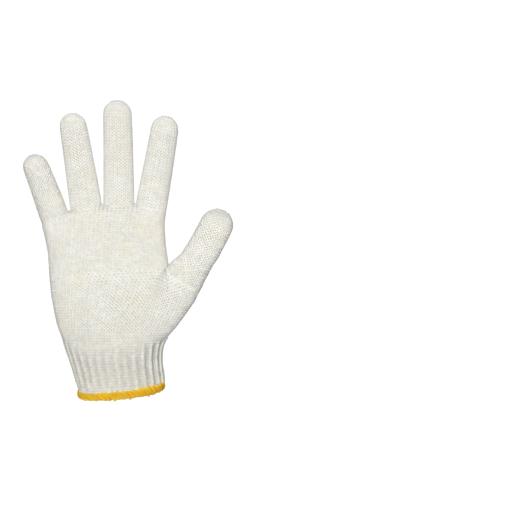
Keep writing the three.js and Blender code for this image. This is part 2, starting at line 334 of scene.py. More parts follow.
class Socket:
    """A node's output, with arithmetic that adds Math nodes."""

    def __init__(self, nodes: Nodes, link: bpy.types.NodeSocket) -> None:
        """Wraps an output of a tree that is being built."""
        self.nodes, self.link = nodes, link

    def maths(self, operation: str, *values: object) -> Socket:
        """Adds a Math node on this output and more values."""
        sockets = {f"i{k}": value for k, value in enumerate((self, *values))}
        return self.nodes.add("ShaderNodeMath", {"operation": operation}, **sockets)

    def __add__(self, other: object) -> Socket:
        """Adds."""
        return self.maths("ADD", other)

    def __sub__(self, other: object) -> Socket:
        """Subtracts."""
        return self.maths("SUBTRACT", other)

    def __rsub__(self, other: float) -> Socket:
        """Subtracts from a number."""
        return self.nodes.add("ShaderNodeMath", {"operation": "SUBTRACT"}, i0=other, i1=self)

    def __mul__(self, other: object) -> Socket:
        """Multiplies."""
        return self.maths("MULTIPLY", other)

    def __truediv__(self, other: object) -> Socket:
        """Divides."""
        return self.maths("DIVIDE", other)

    def __mod__(self, other: object) -> Socket:
        """Takes what a division leaves over."""
        return self.maths("MODULO", other)

    def sine(self) -> Socket:
        """Takes the sine."""
        return self.maths("SINE")

    def cosine(self) -> Socket:
        """Takes the cosine."""
        return self.maths("COSINE")

    def turned(self, other: Socket) -> Socket:
        """Gives the angle of this sine and another's cosine."""
        return self.maths("ARCTAN2", other)

    def clipped(self, low: float, high: float) -> Socket:
        """Maps low to 0 and high to 1, and stays between them."""
        settings = {"clamp": True}
        return self.nodes.add("ShaderNodeMapRange", settings, Value=self, From_Min=low, From_Max=high)


class Nodes:
    """A node tree that is built by method calls."""

    def tree(self) -> bpy.types.NodeTree:
        """Gives the tree."""
        raise NotImplementedError

    def add(
        self, kind: str, settings: dict | None = None, output: int | str = 0, **sockets: object
    ) -> Socket:
        """Adds a node.

        Args:
            kind: the node's type.
            settings: properties of the node, set before its sockets.
            output: which output to give back.
            sockets: its inputs, as in feed.

        Returns:
            The output.
        """
        node = self.tree().nodes.new(kind)
        for key, value in (settings or {}).items():
            setattr(node, key, value)
        self.feed(node, sockets)
        return Socket(self, node.outputs[output])

    def feed(self, node: bpy.types.Node, sockets: dict[str, object]) -> None:
        """Sets or links a node's inputs.

        Args:
            node: the node.
            sockets: values or outputs by the input's name, with spaces as underscores, or by its
                number after an i.
        """
        for key, value in sockets.items():
            number = key[1:]
            socket = node.inputs[int(number) if number.isdigit() else key.replace("_", " ")]
            if isinstance(value, Socket):
                self.tree().links.new(value.link, socket)
            else:
                socket.default_value = value

    def scaled(self, vector: object, factor: object) -> Socket:
        """Scales a vector or a colour by a number."""
        return self.add("ShaderNodeVectorMath", {"operation": "SCALE"}, i0=vector, Scale=factor)


class Tree(Nodes):
    """A Geometry Nodes tree with named inputs."""

    def __init__(self, name: str, inputs: dict[str, tuple[str, object]]) -> None:
        """Makes the tree with its inputs, each a socket type and a default value."""
        self.group = bpy.data.node_groups.new(name, "GeometryNodeTree")
        face = self.group.interface
        for side in ("INPUT", "OUTPUT"):
            face.new_socket("Geometry", in_out=side, socket_type="NodeSocketGeometry")
        self.sockets: dict[str, str] = {}
        for title, (kind, default) in inputs.items():
            item = face.new_socket(title, in_out="INPUT", socket_type=f"NodeSocket{kind}")
            if default is not None:
                item.default_value = default
            self.sockets[title] = item.identifier
        self.start = self.group.nodes.new("NodeGroupInput")
        self.end = self.group.nodes.new("NodeGroupOutput")

    def tree(self) -> bpy.types.NodeTree:
        """Gives the tree."""
        return self.group

    def input(self, title: str = "Geometry") -> Socket:
        """Gives the tree's input of that name."""
        return Socket(self, self.start.outputs[title])

    def sum(self, *vectors: object) -> Socket:
        """Adds vectors."""
        total = vectors[0]
        for vector in vectors[1:]:
            total = self.add("ShaderNodeVectorMath", {"operation": "ADD"}, i0=total, i1=vector)
        return total

    def named(self, title: str, kind: str = "FLOAT_VECTOR") -> Socket:
        """Reads a named attribute."""
        return self.add("GeometryNodeInputNamedAttribute", {"data_type": kind}, Name=title)

    def stored(self, geometry: Socket, title: str, value: Socket) -> Socket:
        """Stores a number on every point under a name."""
        kind, settings = "GeometryNodeStoreNamedAttribute", {"data_type": "FLOAT", "domain": "POINT"}
        return self.add(kind, settings, Geometry=geometry, Name=title, Value=value)

    def noise(
        self, scale: float, seed: str = "Seed", detail: float = 2.0, output: int | str = 0
    ) -> Socket:
        """Gives noise that depends on the place.

        Args:
            scale: its waves per metre.
            seed: the input that shifts it.
            detail: how many finer waves it has.
            output: 0 for a number, Color for a vector.

        Returns:
            The noise, from 0 to 1.
        """
        place, settings = self.add("GeometryNodeInputPosition"), {"noise_dimensions": "4D"}
        sockets = {"Vector": place, "W": self.input(seed), "Scale": scale, "Detail": detail}
        return self.add("ShaderNodeTexNoise", settings, output, **sockets)

    def shaken(self, scale: float) -> Socket:
        """Gives a vector of noise round zero."""
        return self.sum(self.noise(scale, detail=1.0, output="Color"), (-0.5, -0.5, -0.5))

    def swept(self, path: Socket, radius: object, scale: object, material: str) -> None:
        """Sweeps a yarn along its path, dresses it and closes the tree.

        The yarn keeps its length so far as along and its profile's angle as round_x and round_y.

        Args:
            path: the yarn's middle line.
            radius: the profile's radius.
            scale: what the profile is multiplied by at each point.
            material: the input that holds the material.
        """
        path = self.stored(path, "along", self.add("GeometryNodeSplineParameter", output="Length"))
        sides = self.input("Sides")
        ring = self.add("GeometryNodeCurvePrimitiveCircle", Resolution=sides, Radius=radius)
        angle = self.add("GeometryNodeSplineParameter", output="Factor") * (2 * math.pi)
        ring = self.stored(ring, "round_x", angle.cosine())
        ring = self.stored(ring, "round_y", angle.sine())
        tube = self.add("GeometryNodeCurveToMesh", Curve=path, Profile_Curve=ring, Scale=scale)
        smooth = self.add("GeometryNodeSetShadeSmooth", Geometry=tube)
        made = self.add("GeometryNodeSetMaterial", Geometry=smooth, Material=self.input(material))
        self.group.links.new(made.link, self.end.inputs[0])


class LoopTree(Tree):
    """Bends each course of a net into a row of jersey loops and sweeps the yarn along them.

    One stitch runs over a share t from 0 to 1 along its course. Its yarn swings sideways twice, up
    and down once, and in and out twice, so that the legs of the loop stand in front as a V and
    its head and foot lie behind those of the next courses.
    """

    def __init__(self) -> None:
        """Builds the tree."""
        super().__init__(
            "jersey_loops",
            {
                "Yarn Radius": ("Float", 0.7 * MM),
                "Lean": ("Float", 0.31),
                "Reach": ("Float", 0.6),
                "Depth": ("Float", 0.38 * MM),
                "Unevenness": ("Float", 0.5 * MM),
                "Steps": ("Int", 10),
                "Sides": ("Int", 4),
                "Seed": ("Float", 0.0),
                "Yarn": ("Material", None),
            },
        )
        steps, thick = self.input("Steps"), self.named("thick", "FLOAT")
        rows = self.add("GeometryNodeMeshToCurve", Mesh=self.input())
        rows = self.add("GeometryNodeCurveSplineType", {"spline_type": "CATMULL_ROM"}, Curve=rows)
        rows = self.add("GeometryNodeSetSplineResolution", Geometry=rows, Resolution=steps)
        rows = self.add("GeometryNodeResampleCurve", {"mode": "EVALUATED"}, Curve=rows)
        turn = self.add("GeometryNodeInputIndex") % steps / steps
        once, twice = turn * (2 * math.pi), turn * (4 * math.pi)
        ahead = twice.cosine()
        swing = twice.sine() * self.input("Lean") * self.named("wide", "FLOAT")
        shift = self.sum(
            self.scaled(self.add("GeometryNodeInputTangent"), swing),
            self.scaled(self.named("up"), once.cosine() * self.input("Reach") * -1.0),
            self.scaled(self.named("out"), ahead * self.input("Depth") * -1.0),
            self.scaled(self.shaken(420.0), self.input("Unevenness") * thick),
        )
        rows = self.add("GeometryNodeSetPosition", Geometry=rows, Offset=shift)
        slubs = self.noise(130.0) * 0.44 + 0.78
        radius = self.input("Yarn Radius") * thick * slubs
        # behind is 1 where the yarn lies back in the knit; the yarn's finish paints shade there
        self.swept(self.stored(rows, "behind", ahead), 1.0, radius, "Yarn")


class OverlockTree(Tree):
    """Winds overlock thread round the cuff's edge."""

    def __init__(self) -> None:
        """Builds the tree."""
        super().__init__(
            "overlock",
            {
                "Turns": ("Int", 100),
                "Steps": ("Int", 14),
                "Across": ("Float", 1.7 * MM),
                "Tall": ("Float", 2.9 * MM),
                "Slant": ("Float", 1.6 * MM),
                "Thread Radius": ("Float", 0.75 * MM),
                "Sides": ("Int", 6),
                "Unevenness": ("Float", 1.6 * MM),
                "Seed": ("Float", 0.0),
                "Swell": ("Float", 5.0),
                "Thread": ("Material", None),
            },
        )
        steps = self.input("Steps")
        edge = self.add("GeometryNodeMeshToCurve", Mesh=self.input())
        count = self.input("Turns") * steps
        edge = self.add("GeometryNodeResampleCurve", {"mode": "COUNT"}, Curve=edge, Count=count)
        angle = self.add("GeometryNodeInputIndex") % steps / steps * (2 * math.pi)
        sine, cosine = angle.sine(), angle.cosine()
        bulge = self.noise(95.0) * 0.9 + self.noise(30.0, "Swell") * 1.5 - 0.24
        shift = self.sum(
            self.scaled(self.named("out"), cosine * self.input("Across")),
            self.scaled(self.named("up"), sine * self.input("Tall") * bulge),
            self.scaled(self.add("GeometryNodeInputTangent"), sine * self.input("Slant")),
            self.scaled(self.shaken(900.0), self.input("Unevenness")),
        )
        wound = self.add("GeometryNodeSetPosition", Geometry=edge, Offset=shift)
        # behind is 1 where the thread winds behind the edge; its finish paints shade there
        wound = self.stored(wound, "behind", cosine)
        self.swept(wound, self.input("Thread Radius"), 1.0, "Thread")


# Meshes


def with_points(name: str, points: np.ndarray, edges: Sequence, faces: Sequence) -> bpy.types.Object:
    """Makes a mesh object at the origin and links it."""
    mesh = bpy.data.meshes.new(name)
    mesh.from_pydata(points.tolist(), edges, faces)
    piece = bpy.data.objects.new(name, mesh)
    bpy.context.scene.collection.objects.link(piece)
    return piece


def with_attributes(piece: bpy.types.Object, values: dict[str, np.ndarray]) -> None:
    """Stores numbers or vectors on a mesh's points, by name."""
    for title, column in values.items():
        kind, key = ("FLOAT_VECTOR", "vector") if column.ndim > 1 else ("FLOAT", "value")
        piece.data.attributes.new(title, kind, "POINT").data.foreach_set(key, column.ravel())


def ring_edges(count: int, start: int = 0) -> list[list[int]]:
    """Joins a ring of points with edges, from the point of number start on."""
    ring = np.arange(count)
    return (np.stack([ring, (ring + 1) % count], axis=1) + start).tolist()


def grown(piece: bpy.types.Object, tree: Tree, inputs: dict[str, object]) -> bpy.types.Object:
    """Runs a tree on a mesh and gives its result as a plain mesh.

    Args:
        piece: the object that the tree works on, whose mesh is replaced.
        tree: the tree.
        inputs: values of its named inputs.

    Returns:
        The same object, with the result and no modifier.
    """
    modifier = piece.modifiers.new("knit", "NODES")
    modifier.node_group = tree.group
    for title, value in inputs.items():
        modifier[tree.sockets[title]] = value
    bpy.context.view_layer.update()
    evaluated = piece.evaluated_get(bpy.context.evaluated_depsgraph_get())
    made = bpy.data.meshes.new_from_object(evaluated)
    piece.modifiers.remove(modifier)
    piece.data = made
    made.name = piece.name
    return piece


def delivered(piece: bpy.types.Object, slot: Slot, *nodes: str) -> None:
    """Rides a piece on the part's one body, hides the frame nodes that it stands for, and reports it.
    """
    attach(piece, "root")
    if nodes:
        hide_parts(*nodes)
    log.info("%s: %d faces", piece.name, len(piece.data.polygons))


# Finishes


@dataclass(frozen=True)
class Finish(Nodes):
    """Builds one material's node tree."""

    title: str

    def material(self) -> bpy.types.Material:
        """Gives the material, made on first use."""
        made = bpy.data.materials.get(self.title)
        if made is None:
            made = bpy.data.materials.new(self.title)
            made.use_nodes = True
        return made

    def tree(self) -> bpy.types.NodeTree:
        """Gives the material's tree."""
        return self.material().node_tree

    def place(self) -> Socket:
        """Gives Object coordinates."""
        return self.add("ShaderNodeTexCoord", output="Object")

    def height(self) -> Socket:
        """Gives the height in the frame."""
        return self.add("ShaderNodeSeparateXYZ", output="Z", Vector=self.place())

    def stored(self, name: str) -> Socket:
        """Reads a number stored on the mesh."""
        return self.add("ShaderNodeAttribute", {"attribute_name": name}, "Fac")

    def noise(self, scale: float, detail: float = 2.0, rough: float = 0.5) -> Socket:
        """Gives noise in Object coordinates, scale in waves per metre."""
        sockets = {"Vector": self.place(), "Scale": scale, "Detail": detail, "Roughness": rough}
        return self.add("ShaderNodeTexNoise", **sockets)

    def mixed(self, share: Socket, low: object, high: object) -> Socket:
        """Mixes two colours."""
        return self.add("ShaderNodeMix", {"data_type": "RGBA"}, 2, i0=share, i6=low, i7=high)

    def bumped(self, height: Socket, distance: float, strength: float, **under: Socket) -> Socket:
        """Turns a height into a normal, over another one if Normal is given."""
        return self.add("ShaderNodeBump", Height=height, Distance=distance, Strength=strength, **under)

    def coat(self, **sockets: object) -> None:
        """Sets the surface's inputs, as in feed."""
        self.feed(self.tree().nodes["Principled BSDF"], sockets)


@dataclass(frozen=True)
class YarnFinish(Finish):
    """Soft-spun yarn: twisted plies, fuzz, and darker, warmer painted shade where the yarn lies back.
    """

    light: Colour = (0.9, 0.892, 0.845, 1)
    shade: Colour = (0.8, 0.782, 0.7, 1)
    # painted shade: the colour where the yarn lies behind the loops in front of it
    fold_shade: Colour = (0.52, 0.485, 0.385, 1)
    warm: Colour = (0.9, 0.84, 0.7, 1)
    ply_length: float = 3.2 * MM
    plies: int = 3
    sheen: float = 0.1
    dull: float = 0.97  # how bright the yarn is near the wrist; it's darker towards the bottom
    dim_span: tuple[float, float] = (28 * MM, 62 * MM)  # up to where it's dull, and from where it isn't
    groove: float = 0.8  # painted shade: how bright the yarn is between the ribs
    grooves: float = 34 * MM  # from where up that painted shade is in full
    mottle: float = 0.15  # how much duller the yarn's dull flecks are

    def made(self) -> None:
        """Builds the material."""
        turn = self.stored("round_y").turned(self.stored("round_x"))
        twist = turn * self.plies + self.stored("along") * (2 * math.pi * self.plies / self.ply_length)
        ply = twist.sine() * 0.5 + 0.5
        fuzz = self.noise(2600.0, 3.0, 0.7)
        tone = self.noise(60.0, 3.0, 0.6).clipped(0.35, 0.7)
        streak = self.noise(700.0, 2.0, 0.6).clipped(0.3, 0.75)
        colour = self.mixed(tone * 0.45 + streak * 0.35, self.light, self.shade)
        colour = self.mixed(self.noise(45.0).clipped(0.55, 0.75) * 0.5, colour, self.warm)
        # painted shade, mixed in where the yarn lies behind
        colour = self.mixed(self.stored("behind").clipped(-0.3, 1.0) * 0.7, colour, self.fold_shade)
        dulled = self.height().clipped(*self.dim_span) * (1 - self.dull) + self.dull
        # painted shade between the ribs, where the yarn is sunk, weaker towards the hem
        deep = self.height().clipped(0.0, self.grooves) * 0.7 + 0.3
        sunk = 1 - self.stored("groove") * deep * (1 - self.groove)
        fleck = 1 - self.noise(330.0, 4.0, 0.7).clipped(0.35, 0.7) * self.mottle
        colour = self.scaled(colour, dulled * sunk * fleck)
        soft = self.bumped(fuzz, 0.25 * MM, 0.6)
        normal = self.bumped(ply, 0.18 * MM, 0.7, Normal=soft)
        rough = fuzz * 0.12 + 0.86
        self.coat(Base_Color=colour, Roughness=rough, Normal=normal, Sheen_Weight=self.sheen, IOR=1.4)


@dataclass(frozen=True)
class ClothFinish(Finish):
    """The back of the knit, rows of small bumps as the purl side shows them, darker as painted shade.
    """

    # painted shade: colours darker than the yarn's, seen in the gaps between the loops
    light: Colour = (0.64, 0.6, 0.48, 1)
    shade: Colour = (0.5, 0.46, 0.35, 1)
    course: float = 2.35 * MM

    def made(self) -> None:
        """Builds the material."""
        sockets = {"Vector": self.place(), "Scale": 1 / self.course, "Smoothness": 0.6}
        bumps = self.add("ShaderNodeTexVoronoi", {"feature": "SMOOTH_F1"}, "Distance", **sockets)
        tone = self.noise(500.0, 3.0, 0.6)
        colour = self.mixed(tone.clipped(0.3, 0.7), self.light, self.shade)
        normal = self.bumped(1 - bumps, 0.8 * MM, 0.8)
        self.coat(Base_Color=colour, Roughness=0.95, Normal=normal, IOR=1.4)


# The glove's sections


@dataclass
class Section:
    """How a section is knitted: its yarn, its cloth and the sizes of its loops."""

    yarn: YarnFinish
    cloth: ClothFinish
    slot: Slot = Slot.KNIT
    radius: float = 0.70 * MM
    depth: float = 0.38 * MM
    lean: float = 0.31
    reach: float = 0.60
    wide: float = 3.1 * MM  # the wale width that the yarn's radius is meant for
    inset: float = 0.4 * MM  # how far the yarn's middle lies inside the frame's surface
    wall: tuple[float, float] = (0.55 * MM, 1.8 * MM)  # where the cloth wall starts and ends
    lap: float = 0.6  # how far the cloth goes past its end courses, as a share of a course
    reliefs: Reliefs | None = None

    def raised(self, points: np.ndarray, out: np.ndarray) -> tuple[np.ndarray, np.ndarray]:
        """Moves a course's points by the reliefs, and says how far each one is raised."""
        if not self.reliefs:
            return points, np.zeros(len(points))
        raised = self.reliefs.at(points, out)
        return points + out * (self.reliefs.depth * raised)[:, None], raised

    def laid(self, net: Net, index: int) -> dict[str, np.ndarray]:
        """Lays out the stitches of one course.

        Args:
            net: the surface.
            index: which of its courses.

        Returns:
            Their places, and what the loop tree reads at them, by name.
        """
        points, up, out = net.course(index, net.wales[index])
        points, raised = self.raised(points - out * self.inset, out)
        step = np.linalg.norm(np.roll(points, -1, axis=0) - points, axis=1)
        wide = (step + np.roll(step, 1)) / 2
        thick = np.clip(wide / self.wide, 0.45, 1.15) ** 0.85
        # how far each point is sunk between the ribs; the yarn's finish paints shade there
        groove = np.clip(-raised, 0, 1)
        return dict(place=points, up=up, out=out, wide=wide, thick=thick, groove=groove)

    def stitches(self, title: str, net: Net, courses: range, tree: LoopTree, seed: float) -> None:
        """Knits some courses of a net.

        Args:
            title: the piece's name.
            net: the surface.
            courses: which of its courses.
            tree: the tree that makes the loops.
            seed: what makes this piece's unevenness its own.
        """
        laid = [self.laid(net, index) for index in courses]
        values = {key: np.concatenate([course[key] for course in laid]) for key in laid[0]}
        edges: list[list[int]] = []
        for course in laid:
            edges += ring_edges(len(course["place"]), len(edges))
        piece = with_points(title, values.pop("place"), edges, [])
        with_attributes(piece, values)
        inputs = {
            "Yarn Radius": self.radius,
            "Depth": self.depth,
            "Lean": self.lean,
            "Reach": self.reach,
            "Seed": seed,
            "Yarn": self.yarn.material(),
        }
        delivered(grown(piece, tree, inputs), self.slot)

    def backing(self, title: str, net: Net, *nodes: str) -> None:
        """Makes the cloth wall behind a net's stitches and lets it stand for frame nodes.

        Args:
            title: the piece's name.
            net: the surface.
            nodes: the frame nodes that the wall replaces.
        """
        outside, inside = [], []
        last = len(net.rows) - 1
        ends = {0: -self.lap} if net.closed else {0: -self.lap, last: self.lap}
        for index in range(last + 1):
            points, up, out = net.course(index, CLOTH_SAMPLES)
            points = self.raised(points + up * ends.get(index, 0.0), out)[0]
            outside.append(points - out * (self.inset + self.wall[0]))
            inside.append(points - out * (self.inset + self.wall[1]))
        rings = inside[::-1] + outside
        if net.closed:
            rings = [inside[-1].mean(axis=0)[None], *rings, outside[-1].mean(axis=0)[None]]
        piece = with_points(title, np.vstack(rings), [], walls_between(rings, not net.closed))
        piece.data.shade_smooth()
        # the cloth is darker than the yarn: painted shade in the gaps between loops
        piece.data.materials.append(self.cloth.material())
        delivered(piece, self.slot, *nodes)


def walls_between(rings: list[np.ndarray], loop: bool) -> list[tuple[int, ...]]:
    """Joins rings of points with faces that point outwards.

    Args:
        rings: rings of as many points each, or of one point for a pole.
        loop: whether the last ring joins the first.

    Returns:
        The faces.
    """
    starts = np.cumsum([0] + [len(ring) for ring in rings])
    faces: list[tuple[int, ...]] = []
    for lower in range(len(rings) if loop else len(rings) - 1):
        upper = (lower + 1) % len(rings)
        low, high = len(rings[lower]), len(rings[upper])
        for k in range(max(low, high)):
            corners = [
                starts[lower] + k % low,
                starts[lower] + (k + 1) % low,
                starts[upper] + (k + 1) % high,
                starts[upper] + k % high,
            ]
            faces.append(tuple(int(c) for c in dict.fromkeys(corners)))
    return faces


@dataclass
class Spine:
    """The curved middle line of a stall, from its open end to its tip."""

    terms: np.ndarray  # a polynomial of the distance along the line, with a column for each axis
    length: float

    @classmethod
    def of(cls, solid: Solid) -> Spine:
        """Finds the middle line of a stall's solid."""
        middle = solid.corners.mean(axis=0)
        axis = np.linalg.svd(solid.corners - middle, full_matrices=False)[2][0]
        axis = axis * np.sign(axis[2])
        along = (solid.corners - middle) @ axis
        places, middles = [], []
        for share in (0.2, 0.35, 0.5, 0.65, 0.8):
            level = along.min() + share * np.ptp(along)
            places.append(level)
            middles.append(middle_of(largest(solid.cut(lambda p: (p - middle) @ axis - level))))
        spine = cls(np.polyfit(places, middles, 2), 0.0)
        foot = spine.square(along.min())(solid.corners)
        start = along[foot < foot.min() + 0.6 * MM].mean()
        shift = [np.poly1d(term)(np.poly1d([1, start])).coefficients for term in spine.terms.T]
        return cls(np.array(shift).T, float(along.max() - start))

    def at(self, level: float) -> np.ndarray:
        """Gives the point at a distance from the open end."""
        return np.array([np.polyval(term, level) for term in self.terms.T])

    def heading(self, level: float) -> np.ndarray:
        """Gives the unit vector towards the tip there."""
        way = np.array([np.polyval(np.polyder(term), level) for term in self.terms.T])
        return way / np.linalg.norm(way)

    def square(self, level: float) -> Height:
        """Gives the height over the plane square to the line there."""
        point, way = self.at(level), self.heading(level)
        return lambda p: (p - point) @ way


def plane_through(points: np.ndarray) -> np.ndarray:
    """Fits z = a + b x + c y to points and gives a, b and c."""
    flat = np.column_stack([np.ones(len(points)), points[:, :2]])
    return np.linalg.lstsq(flat, points[:, 2], rcond=None)[0]


@dataclass
class Form:
    """What the sections share: the frame's solids and the lines where they meet."""

    solids: dict[str, Solid]
    course: float = 2.15 * MM
    stall_course: float = 2.35 * MM
    crotch_x: float = 38.5 * MM  # where the thumb parts from the palm
    crotch_between: tuple[float, float] = (80 * MM, 110 * MM)  # the heights where that is sought
    thumb_wide: float = 12 * MM  # the palm's outline goes this far past it while the thumb is on
    crotch_slope: float = 0.15  # the courses fall from there towards the little finger
    crotch_bow: float = 150 * MM  # over about this length
    thumb_slope: float = 0.56  # and fall towards the thumb
    thumb_tilt: float = 0.36  # and rise towards its back
    thumb_back: float = 10 * MM  # from this far in front of the palm's middle
    gore_start: float = 14 * MM  # where the thumb's gore starts at the cuff
    gore_bend: float = 3 * MM  # how gently the courses bend there
    wale: float = 3.1 * MM
    cuff_wales: int = 84
    lower_wales: int = 84
    palm_wales: int = 68
    lower_courses: int = 22
    upper_courses: int = 25
    knuckles: float = -6.8 * MM  # where the palm ends, from the open ends of the fingers' solids
    stalls: float = -7.1 * MM  # and where the fingers' own courses start
    fingers: tuple[str, ...] = ("little_finger", "ring_finger", "middle_finger", "index_finger")

    def __post_init__(self) -> None:
        """Finds the stalls' middle lines and the height where the thumb parts from the palm."""
        self.spines = {name: Spine.of(self.solids[name]) for name in (*self.fingers, "thumb")}
        low, high = self.crotch_between
        for _ in range(14):
            self.crotch_z = (low + high) / 2
            outline = largest(self.solids["palm"].cut(lambda p: p[:, 2] - self.crotch_line(p)))
            if outline[:, 0].max() > self.crotch_x + self.thumb_wide:
                low = self.crotch_z
            else:
                high = self.crotch_z
        log.info("the thumb parts from the palm %.1f mm up", self.crotch_z / MM)

    def crotch_level(self) -> float:
        """Gives the crotch's place along the thumb's middle line."""
        spine, level = self.spines["thumb"], 0.0
        crotch = np.array([self.crotch_x, spine.at(0)[1], self.crotch_z])
        for _ in range(6):
            level += float(spine.square(level)(crotch))
        return level

    def cuff_top(self) -> float:
        """Gives the height where the cuff meets the palm."""
        return float(self.solids["cuff"].corners[:, 2].max())

    def hem_plane(self) -> np.ndarray:
        """Gives the slanted plane of the wrist opening."""
        return plane_through(self.solids["overlock_hem"].corners)

    def crotch_line(self, points: np.ndarray, share: float = 1.0) -> np.ndarray:
        """Gives the height of the course through the thumb's crotch, or one below it.

        Args:
            points: places on the form.
            share: how far up from the cuff to the crotch.

        Returns:
            Heights.
        """
        x, y = points[:, 0], points[:, 1]
        low, high = self.cuff_top(), self.crotch_z
        left = np.clip(self.crotch_x - x, 0, None)
        climb = -self.crotch_slope * left**2 / self.crotch_bow
        bend = self.gore_start + (self.crotch_x - self.gore_start) * share
        past = self.gore_bend * np.logaddexp(0, (x - bend) / self.gore_bend)
        tilt = self.thumb_tilt * (y + self.thumb_back) * (1 - np.exp(-past / (8 * MM)))
        return low + share * (high - low + climb - self.thumb_slope * past + tilt)

    def knuckle_line(self, x: np.ndarray) -> np.ndarray:
        """Gives the height where the fingers start."""
        feet = np.array([self.spines[name].at(self.knuckles) for name in self.fingers])
        return np.polyval(np.polyfit(feet[:, 0], feet[:, 2], 2), x)


@dataclass(frozen=True)
class Winding:
    """One layer of overlock thread round the cuff's edge."""

    title: str
    thread: YarnFinish
    seed: float
    turns: int
    slant: float  # how far along the edge each turn leans
    size: float  # how large its turns are, as a share of the hem's
    radius: float  # the thread's
    uneven: float = 0.0
    replaced: tuple[str, ...] = ()


@dataclass
class Cuff:
    """The ribbed cuff and its overlocked hem."""

    form: Form
    section: Section
    thread: YarnFinish
    # painted shade: the core's darker thread, seen between the windings
    core: YarnFinish
    across: float = 1.7 * MM  # half the hem's thickness
    tall: float = 2.9 * MM  # and half its height
    drop: float = 1.0 * MM  # how far its middle lies below the first course
    inset: float = 0.4 * MM  # and inside it

    def net(self) -> Net:
        """Lays the cuff's courses from the slanted opening to its level top."""
        top, plane = self.form.cuff_top(), self.form.hem_plane()
        count = round(top / self.form.course)

        def height(points: np.ndarray, up: float) -> np.ndarray:
            """Gives the height over a course, as slanted as the opening or less."""
            slant = plane[0] + plane[1] * points[:, 0] + plane[2] * points[:, 1]
            return points[:, 2] - up * top - (1 - up) ** 2 * slant

        shares = [(index + 0.5) / count for index in range(count)]
        rows = outlines_at(self.form.solids["cuff"], shares, height)
        return Net(softened(np.array(rows), waves=9), [self.form.cuff_wales] * count)

    def build(self, net: Net, loops: LoopTree, overlock: OverlockTree) -> None:
        """Knits the cuff and winds its hem."""
        self.section.stitches("cuff_stitches", net, range(len(net.rows)), loops, 1.0)
        self.section.backing("cuff_cloth", net, "cuff")
        self.hem(net, overlock)

    def hem(self, net: Net, overlock: OverlockTree) -> None:
        """Winds the overlock round the cuff's lower edge, a core in painted shade and two uneven
        layers.
        """
        points, up, out = net.course(0, SAMPLES)
        up /= np.linalg.norm(up, axis=1)[:, None]
        points = points - up * self.drop - out * self.inset
        thread, replaced = self.thread, ("overlock_hem",)
        layers = (
            Winding("hem_core", self.core, 3.0, 130, 0.4 * MM, 0.85, 0.62 * MM),
            Winding("hem_threads", thread, 5.0, 84, -2.4 * MM, 0.97, 0.76 * MM, 2.4 * MM, replaced),
            Winding("hem_threads_over", thread, 9.0, 46, -3.6 * MM, 1.05, 0.85 * MM, 3.2 * MM),
        )
        for layer in layers:
            piece = with_points(layer.title, points, ring_edges(SAMPLES), [])
            with_attributes(piece, {"up": up, "out": out})
            inputs = {
                "Seed": layer.seed,
                "Turns": layer.turns,
                "Slant": layer.slant,
                "Across": self.across * layer.size,
                "Tall": self.tall * layer.size,
                "Thread Radius": layer.radius,
                "Unevenness": layer.uneven,
                "Thread": layer.thread.material(),
            }
            delivered(grown(piece, overlock, inputs), Slot.OVERLOCK, *layer.replaced)


@dataclass
class Palm:
    """The palm, below and above the thumb's crotch."""

    form: Form
    section: Section
    stray: float = -4.4 * MM  # how far the wales stray round the palm up to the crotch
    stray_back: float = 0.36 * MM  # and how far they come back with each course above it
    domes: tuple[tuple[float, float], ...] = ((1.7 * MM, 0.82), (1.2 * MM, 0.62))

    def lower_net(self) -> Net:
        """Lays the courses that run round the palm and the thumb's gore."""
        form, count = self.form, self.form.lower_courses

        def height(points: np.ndarray, share: float) -> np.ndarray:
            """Gives the height over a course below the crotch."""
            return points[:, 2] - form.crotch_line(points, share)

        shares = [(index + 0.5) / count for index in range(count)]
        turns = [self.stray * (index / count) ** 2 for index in range(count)]
        rows = outlines_at(form.solids["palm"], shares, height, turns)
        return Net(softened(np.array(rows), waves=16), [form.lower_wales] * count)

    def upper_net(self) -> Net:
        """Lays the courses up to the knuckles, and two that close in between the fingers."""
        form, count = self.form, self.form.upper_courses

        def height(points: np.ndarray, share: float) -> np.ndarray:
            """Gives the height over a course between the crotch and the knuckles."""
            low, high = form.crotch_line(points), form.knuckle_line(points[:, 0])
            return points[:, 2] - low - share * (high - low)

        shares = [(index + 0.4) / count for index in range(count)]
        turns = [self.stray + self.stray_back * index for index in range(count)]
        rows = outlines_at(form.solids["palm"], shares, height, turns)
        for lift, share in self.domes:
            middle = rows[-1].mean(axis=0)
            rows.append(middle + (rows[-1] - middle) * (0.985, share, 1.0) + (0, 0, lift))
        return Net(softened(np.array(rows), waves=16), [form.palm_wales] * len(rows))

    def build(self, lower: Net, loops: LoopTree) -> None:
        """Knits the palm."""
        upper, plain = self.upper_net(), replace(self.section, reliefs=None)
        half = len(lower.rows) // 2
        self.section.stitches("heel_stitches", lower, range(half), loops, 2.0)
        self.section.stitches("gore_stitches", lower, range(half, len(lower.rows)), loops, 3.0)
        plain.stitches("palm_stitches", upper, range(len(upper.rows)), loops, 4.0)
        plain.backing("heel_cloth", lower, "palm")
        plain.backing("palm_cloth", upper)


